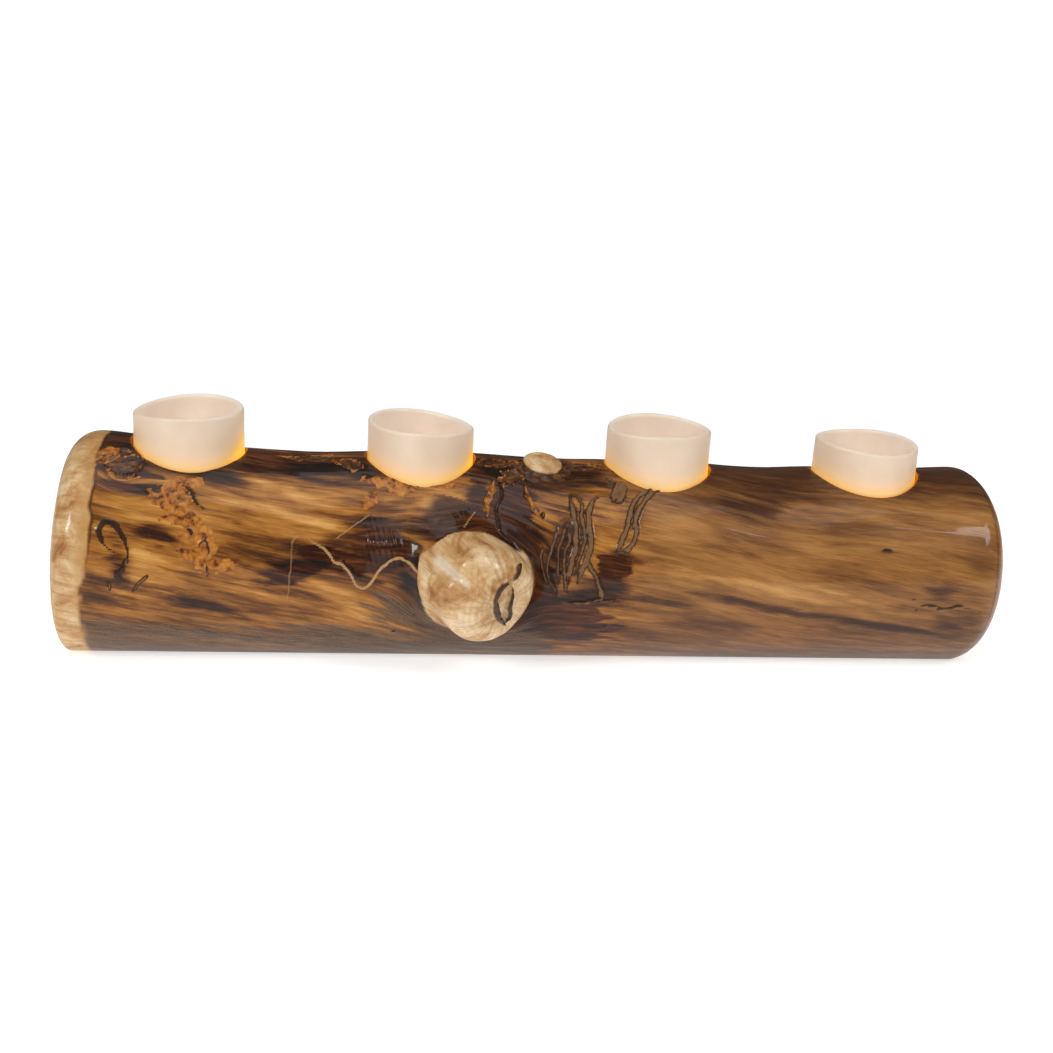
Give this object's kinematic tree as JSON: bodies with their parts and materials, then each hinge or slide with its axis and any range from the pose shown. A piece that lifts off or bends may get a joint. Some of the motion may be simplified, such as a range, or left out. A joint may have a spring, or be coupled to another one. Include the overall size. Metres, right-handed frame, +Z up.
{
  "type": "tealight holder",
  "caption": "Peeled log with a sawn base, a cut branch stub and a row of round bored seats, each holding a flameless candle of ivory wax with a wavy rim, a flame tip and a battery bay.",
  "frame": {"origin": "centre of the sawn base, midway between the two ends", "axes": "+X along the log towards its thin end, -Y towards the side with the branch stub, +Z up"},
  "size_m": [0.444, 0.1268, 0.114],
  "materials": {
    "lacquered_wood": "glossy clear lacquer over peeled, stained aspen",
    "ivory_wax": "translucent paraffin wax, lit from inside",
    "ivory_plastic": "moulded ABS, fine texture",
    "amber_lens": "frosted moulded flame tip",
    "led_epoxy": "clear amber epoxy",
    "board": "green solder mask",
    "black_plastic": "moulded black",
    "steel": "plated steel",
    "spring_brass": "spring strip"
  },
  "bodies": {
    "log": {"log": "lacquered_wood"},
    "candle_1": {"candle_1_wax_shell": "ivory_wax", "candle_1_core_cup": "ivory_plastic", "candle_1_flame_lens": "amber_lens", "candle_1_led": "led_epoxy", "candle_1_circuit_board": "board", "candle_1_control_chip": "black_plastic", "candle_1_switch_case": "steel", "candle_1_coin_cell": "steel", "candle_1_contact_plus": "spring_brass", "candle_1_contact_minus": "spring_brass", "candle_1_base_plate": "ivory_plastic", "candle_1_base_screws": "steel"},
    "door_1": {"candle_1_battery_door": "ivory_plastic"},
    "switch_1": {"candle_1_switch_knob": "black_plastic"},
    "candle_2": {"candle_2_wax_shell": "ivory_wax", "candle_2_core_cup": "ivory_plastic", "candle_2_flame_lens": "amber_lens", "candle_2_led": "led_epoxy", "candle_2_circuit_board": "board", "candle_2_control_chip": "black_plastic", "candle_2_switch_case": "steel", "candle_2_coin_cell": "steel", "candle_2_contact_plus": "spring_brass", "candle_2_contact_minus": "spring_brass", "candle_2_base_plate": "ivory_plastic", "candle_2_base_screws": "steel"},
    "door_2": {"candle_2_battery_door": "ivory_plastic"},
    "switch_2": {"candle_2_switch_knob": "black_plastic"},
    "candle_3": {"candle_3_wax_shell": "ivory_wax", "candle_3_core_cup": "ivory_plastic", "candle_3_flame_lens": "amber_lens", "candle_3_led": "led_epoxy", "candle_3_circuit_board": "board", "candle_3_control_chip": "black_plastic", "candle_3_switch_case": "steel", "candle_3_coin_cell": "steel", "candle_3_contact_plus": "spring_brass", "candle_3_contact_minus": "spring_brass", "candle_3_base_plate": "ivory_plastic", "candle_3_base_screws": "steel"},
    "door_3": {"candle_3_battery_door": "ivory_plastic"},
    "switch_3": {"candle_3_switch_knob": "black_plastic"},
    "candle_4": {"candle_4_wax_shell": "ivory_wax", "candle_4_core_cup": "ivory_plastic", "candle_4_flame_lens": "amber_lens", "candle_4_led": "led_epoxy", "candle_4_circuit_board": "board", "candle_4_control_chip": "black_plastic", "candle_4_switch_case": "steel", "candle_4_coin_cell": "steel", "candle_4_contact_plus": "spring_brass", "candle_4_contact_minus": "spring_brass", "candle_4_base_plate": "ivory_plastic", "candle_4_base_screws": "steel"},
    "door_4": {"candle_4_battery_door": "ivory_plastic"},
    "switch_4": {"candle_4_switch_knob": "black_plastic"}
  },
  "joints": [
    {"name": "candle_1_lift", "type": "slide", "parent": "log", "child": "candle_1", "axis": [0, 0, 1], "range_m": [0, 0.04]},
    {"name": "door_1_twist", "type": "hinge", "parent": "candle_1", "child": "door_1", "pos_m": [-0.167, 0, 0.0686], "axis": [0, 0, 1], "range_deg": [0, 30]},
    {"name": "switch_1_slide", "type": "slide", "parent": "candle_1", "child": "switch_1", "axis": [1, 0, 0], "range_m": [0, 0.002]},
    {"name": "candle_2_lift", "type": "slide", "parent": "log", "child": "candle_2", "axis": [0, 0, 1], "range_m": [0, 0.04]},
    {"name": "door_2_twist", "type": "hinge", "parent": "candle_2", "child": "door_2", "pos_m": [-0.0595, 0, 0.0651], "axis": [0, 0, 1], "range_deg": [0, 30]},
    {"name": "switch_2_slide", "type": "slide", "parent": "candle_2", "child": "switch_2", "axis": [1, 0, 0], "range_m": [0, 0.002]},
    {"name": "candle_3_lift", "type": "slide", "parent": "log", "child": "candle_3", "axis": [0, 0, 1], "range_m": [0, 0.04]},
    {"name": "door_3_twist", "type": "hinge", "parent": "candle_3", "child": "door_3", "pos_m": [0.0555, 0, 0.0666], "axis": [0, 0, 1], "range_deg": [0, 30]},
    {"name": "switch_3_slide", "type": "slide", "parent": "candle_3", "child": "switch_3", "axis": [1, 0, 0], "range_m": [0, 0.002]},
    {"name": "candle_4_lift", "type": "slide", "parent": "log", "child": "candle_4", "axis": [0, 0, 1], "range_m": [0, 0.04]},
    {"name": "door_4_twist", "type": "hinge", "parent": "candle_4", "child": "door_4", "pos_m": [0.1605, 0, 0.0626], "axis": [0, 0, 1], "range_deg": [0, 30]},
    {"name": "switch_4_slide", "type": "slide", "parent": "candle_4", "child": "switch_4", "axis": [1, 0, 0], "range_m": [0, 0.002]}
  ]
}
